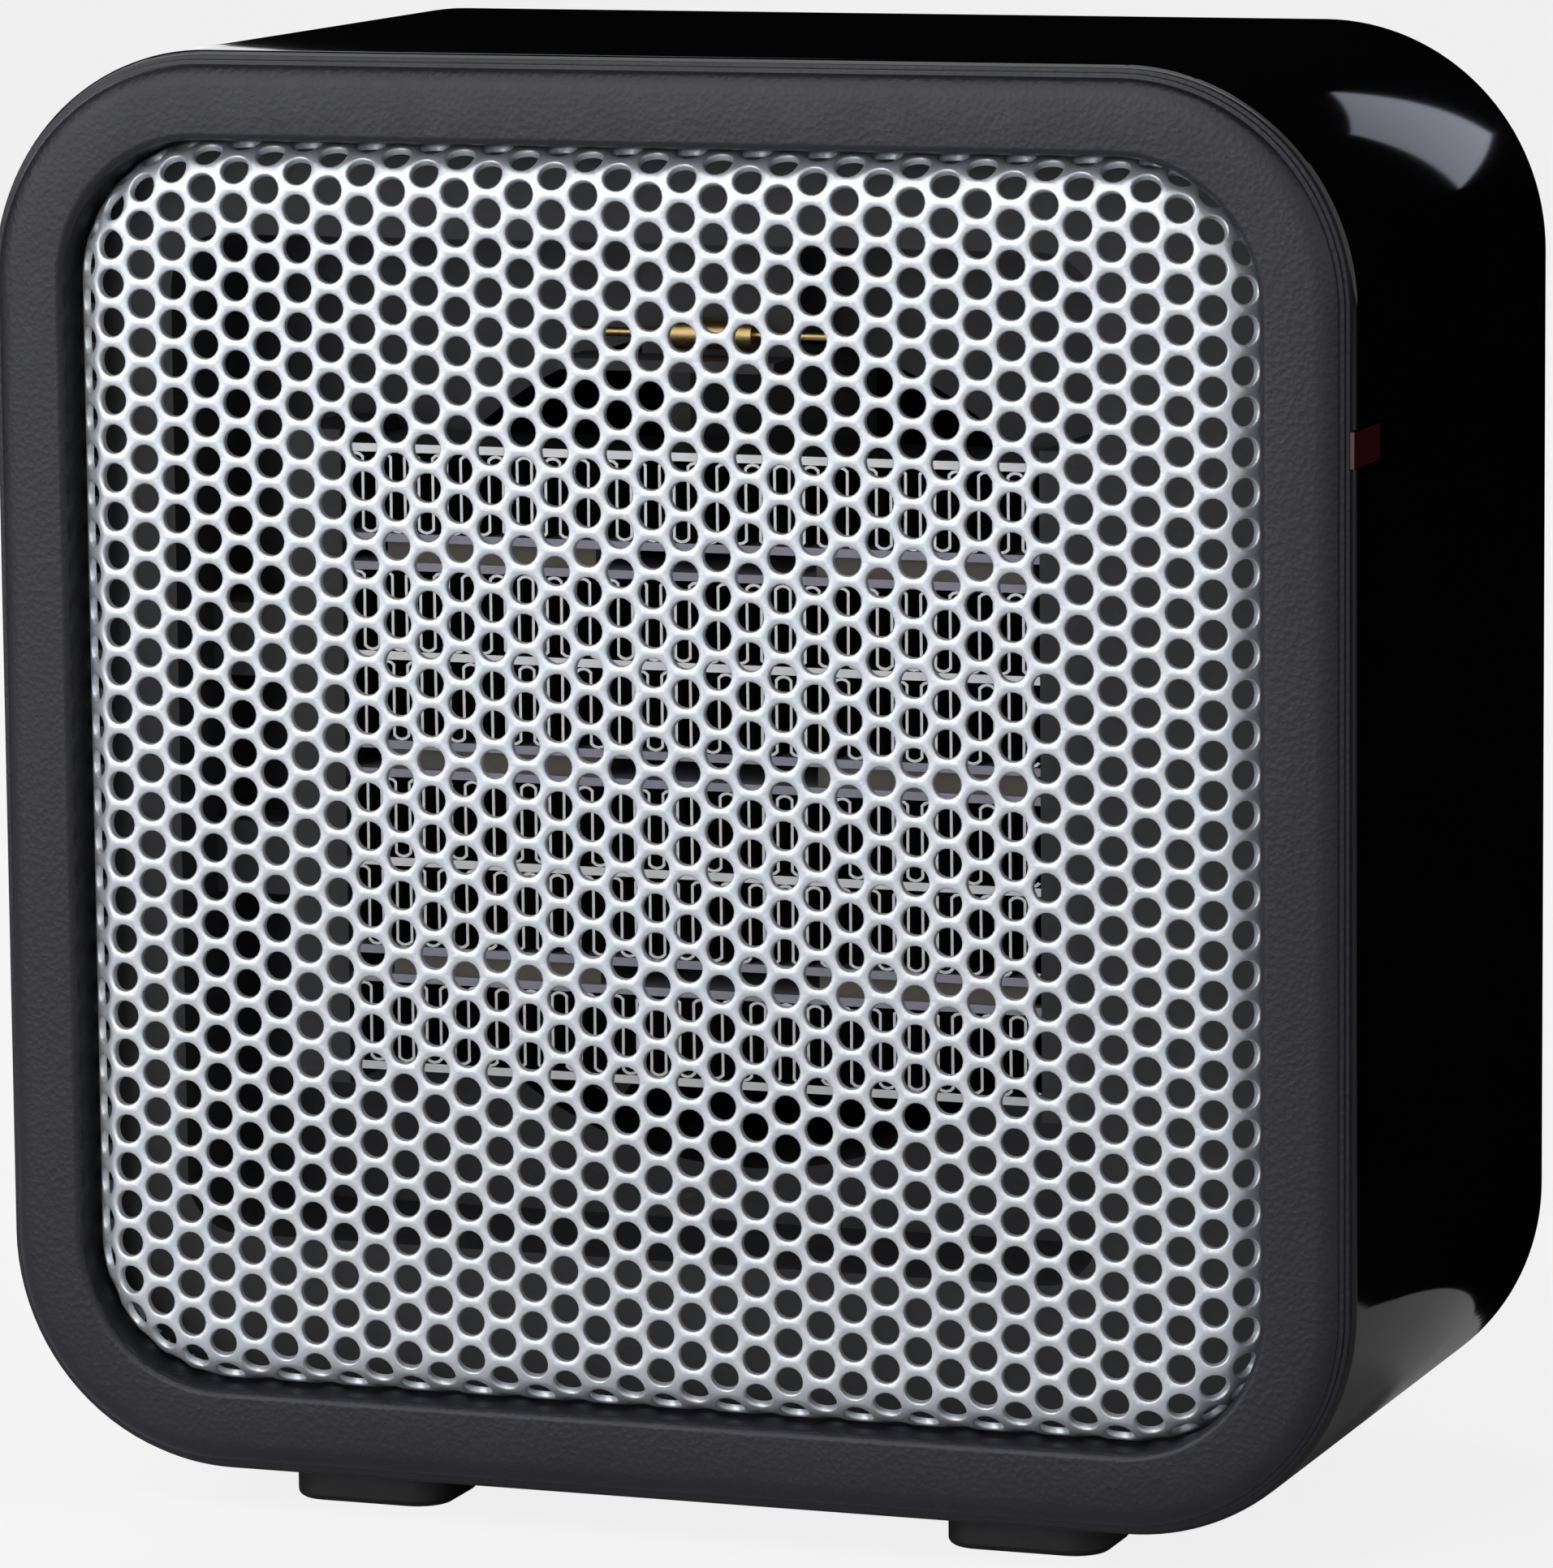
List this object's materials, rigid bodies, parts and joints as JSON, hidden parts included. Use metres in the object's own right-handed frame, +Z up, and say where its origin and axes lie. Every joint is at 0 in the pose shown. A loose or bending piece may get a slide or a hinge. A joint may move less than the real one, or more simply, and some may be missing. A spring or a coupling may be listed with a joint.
{
  "type": "ceramic space heater",
  "caption": "Small square personal fan heater: moulded case with round corners, perforated metal front grille, finned ceramic element, axial fan and rear rocker switch.",
  "frame": {"origin": "middle of the footprint, on the surface the feet stand on", "axes": "+Z up, the grille faces -Y, +X is to the right seen from the front"},
  "size_m": [0.152, 0.08, 0.1582],
  "materials": {
    "gloss_case": "polished black plastic",
    "grained_bezel": "fine leather-grained black plastic",
    "rear_plastic": "fine matte black plastic",
    "steel": "zinc plated steel",
    "rubber": "black rubber",
    "grille_paint": "silver painted perforated steel",
    "duct_plastic": "dark grey heat-resistant plastic",
    "fin_aluminium": "bright aluminium strip",
    "ceramic": "fired ceramic",
    "electrode": "dull aluminium",
    "brass": "brass",
    "fan_plastic": "dark heat-resistant plastic",
    "motor_steel": "laminated steel",
    "copper_coil": "varnished copper winding",
    "switch_plastic": "black plastic",
    "screen_cloth": "fine black dust screen",
    "indicator_red": "dark red clear plastic",
    "lamp_glass": "neon lamp glass"
  },
  "bodies": {
    "heater_body": {"outer_sleeve": "gloss_case", "front_bezel": "grained_bezel", "rear_cover": "rear_plastic", "case_screws": "steel", "foot_front_left": "rubber", "foot_front_right": "rubber", "foot_rear_left": "rubber", "foot_rear_right": "rubber", "front_grille": "grille_paint", "air_duct": "duct_plastic", "fan_shroud": "duct_plastic", "fin_row_1": "fin_aluminium", "fin_row_2": "fin_aluminium", "fin_row_3": "fin_aluminium", "fin_row_4": "fin_aluminium", "fin_row_5": "fin_aluminium", "fin_row_6": "fin_aluminium", "ceramic_stones_top": "ceramic", "ceramic_stones_middle": "ceramic", "ceramic_stones_bottom": "ceramic", "electrode_strips": "electrode", "spacer_rails": "fin_aluminium", "element_end_left": "duct_plastic", "element_end_right": "duct_plastic", "element_terminals": "steel", "element_screws": "steel", "thermostat_bracket": "steel", "thermostat": "ceramic", "thermal_fuse": "brass", "motor_core": "motor_steel", "motor_coil": "copper_coil", "bearing_bracket_front": "steel", "bearing_bracket_rear": "steel", "bearing_bush_front": "brass", "bearing_bush_rear": "brass", "motor_screws": "steel", "rocker_frame": "switch_plastic", "switch_terminals": "brass", "cord_gland": "rubber", "cord_clamp": "duct_plastic", "clamp_screws": "steel", "dust_screen": "screen_cloth", "tip_switch_case": "duct_plastic", "tip_pivot_pin": "steel", "microswitch": "switch_plastic", "indicator_lens": "indicator_red", "indicator_lamp": "lamp_glass"},
    "fan": {"fan_blade": "fan_plastic", "motor_shaft": "steel", "rotor_core": "motor_steel"},
    "rocker": {"rocker_button": "switch_plastic"},
    "pendulum": {"tip_weight": "steel"}
  },
  "joints": [
    {"name": "fan_spin", "type": "hinge", "parent": "heater_body", "child": "fan", "pos_m": [-0.001, 0, 0.0812], "axis": [0, 1, 0], "continuous": true},
    {"name": "rocker_tilt", "type": "hinge", "parent": "heater_body", "child": "rocker", "pos_m": [0.06, 0.033, 0.1262], "axis": [1, 0, 0], "range_deg": [0, 20]},
    {"name": "tip_swing", "type": "hinge", "parent": "heater_body", "child": "pendulum", "pos_m": [0.06, 0.0045, 0.0672], "axis": [1, 0, 0], "range_deg": [-25, 25]}
  ]
}
